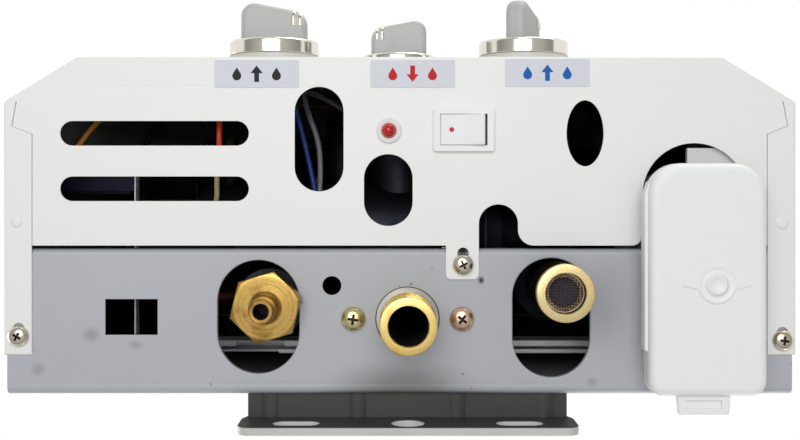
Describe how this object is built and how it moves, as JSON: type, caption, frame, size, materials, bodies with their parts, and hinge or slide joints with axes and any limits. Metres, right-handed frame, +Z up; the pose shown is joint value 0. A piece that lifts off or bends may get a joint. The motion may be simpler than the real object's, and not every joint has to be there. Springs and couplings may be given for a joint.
{
  "type": "gas water heater",
  "caption": "Wall-hung tankless gas water heater: folded white cover, control knobs, gas and water fittings below, battery box, burner, heat exchanger and top flue collar.",
  "frame": {"origin": "centre of the lower wall bracket's middle hole, on the wall plane", "axes": "+X to the right seen from the front, +Y into the wall, +Z up"},
  "size_m": [0.3, 0.1681, 0.498],
  "materials": {
    "cover_paint": "satin off-white paint",
    "chassis_paint": "satin grey paint",
    "bracket_steel": "grey paint on thick sheet",
    "screw_nickel": "bright nickel plate",
    "screw_zinc": "yellow zinc plate",
    "fitting_brass": "turned brass",
    "pipe_copper": "drawn copper",
    "chamber_steel": "aluminised sheet, heat tinted",
    "stainless": "plain stainless sheet",
    "valve_alloy": "die-cast alloy, shot blasted",
    "mesh_steel": "woven stainless mesh",
    "rod_steel": "ground steel",
    "white_plastic": "moulded, glossy",
    "knob_plastic": "moulded, satin grey",
    "knob_chrome": "champagne metallised",
    "dark_plastic": "moulded, matt",
    "lamp_red": "clear red, glossy",
    "window_glass": "heat-proof glass",
    "rubber_black": "moulded sheet",
    "ceramic_white": "glazed",
    "cell_wrap": "printed sleeve",
    "insulation_red": "wire insulation",
    "insulation_blue": "wire insulation",
    "insulation_grey": "wire insulation",
    "insulation_brown": "wire insulation"
  },
  "bodies": {
    "casing": {"front_cover": "cover_paint", "flame_window": "window_glass", "back_panel": "chassis_paint", "bottom_plate": "chassis_paint", "lower_wall_bracket": "bracket_steel", "upper_wall_bracket": "bracket_steel", "bracket_rivets": "rod_steel", "cover_screws": "screw_nickel", "outlet_screws": "screw_zinc", "flue_hood": "stainless", "combustion_chamber": "chamber_steel", "heat_exchanger": "pipe_copper", "burner_frame": "stainless", "burner_bars": "stainless", "gas_manifold": "stainless", "injectors": "fitting_brass", "electrodes": "ceramic_white", "gas_inlet_fitting": "fitting_brass", "gas_valve_body": "valve_alloy", "gas_solenoid": "dark_plastic", "water_inlet_fitting": "fitting_brass", "inlet_filter": "mesh_steel", "water_valve_body": "valve_alloy", "diaphragm": "rubber_black", "diaphragm_cover": "valve_alloy", "valve_screws": "screw_nickel", "microswitch": "dark_plastic", "cold_pipe": "pipe_copper", "hot_pipe": "pipe_copper", "pipe_nuts": "fitting_brass", "water_outlet_fitting": "fitting_brass", "thermal_cutout": "dark_plastic", "ignition_module": "dark_plastic", "led_holder": "white_plastic", "led_lamp": "lamp_red", "switch_housing": "white_plastic", "battery_box": "white_plastic", "batteries": "cell_wrap", "battery_contacts": "rod_steel", "wire_red": "insulation_red", "wire_blue": "insulation_blue", "wire_grey": "insulation_grey", "wires_brown": "insulation_brown"},
    "gas_control": {"gas_knob": "knob_plastic", "gas_knob_trim": "knob_chrome", "gas_knob_skirt": "white_plastic", "gas_spindle": "rod_steel"},
    "season_control": {"season_knob": "knob_plastic", "season_knob_trim": "knob_chrome", "season_knob_skirt": "white_plastic", "season_spindle": "rod_steel"},
    "water_control": {"water_knob": "knob_plastic", "water_knob_trim": "knob_chrome", "water_knob_skirt": "white_plastic", "water_spindle": "rod_steel"},
    "rocker": {"switch_rocker": "white_plastic"},
    "lid": {"battery_lid": "white_plastic", "lid_contact": "rod_steel"},
    "linkage": {"linkage_rod": "rod_steel"},
    "lever": {"microswitch_lever": "rod_steel"}
  },
  "joints": [
    {"name": "gas_knob_turn", "type": "hinge", "parent": "casing", "child": "gas_control", "pos_m": [-0.0556, -0.1403, 0.058], "axis": [0, -1, 0], "range_deg": [0, 180]},
    {"name": "season_knob_turn", "type": "hinge", "parent": "casing", "child": "season_control", "pos_m": [-0.003, -0.1403, 0.058], "axis": [0, -1, 0], "range_deg": [-180, 0]},
    {"name": "water_knob_turn", "type": "hinge", "parent": "casing", "child": "water_control", "pos_m": [0.0496, -0.1403, 0.058], "axis": [0, -1, 0], "range_deg": [-69, 111]},
    {"name": "switch_rock", "type": "hinge", "parent": "casing", "child": "rocker", "pos_m": [0.0212, -0.1126, 0.0086], "axis": [0, -1, 0], "range_deg": [0, 14]},
    {"name": "lid_swing", "type": "hinge", "parent": "casing", "child": "lid", "pos_m": [0.1086, -0.097, 0.002], "axis": [-1, 0, 0], "range_deg": [0, 90]},
    {"name": "linkage_slide", "type": "slide", "parent": "casing", "child": "linkage", "axis": [-1, 0, 0], "range_m": [0, 0.003], "stiffness_N_per_m": 150},
    {"name": "lever_swing", "type": "hinge", "parent": "casing", "child": "lever", "pos_m": [0.0143, -0.072, 0.084], "axis": [0, 1, 0], "range_deg": [0, 8]}
  ],
  "couplings": [
    {"joint": "lever_swing", "follows": "linkage_slide", "rad_per_m": 44.8}
  ]
}
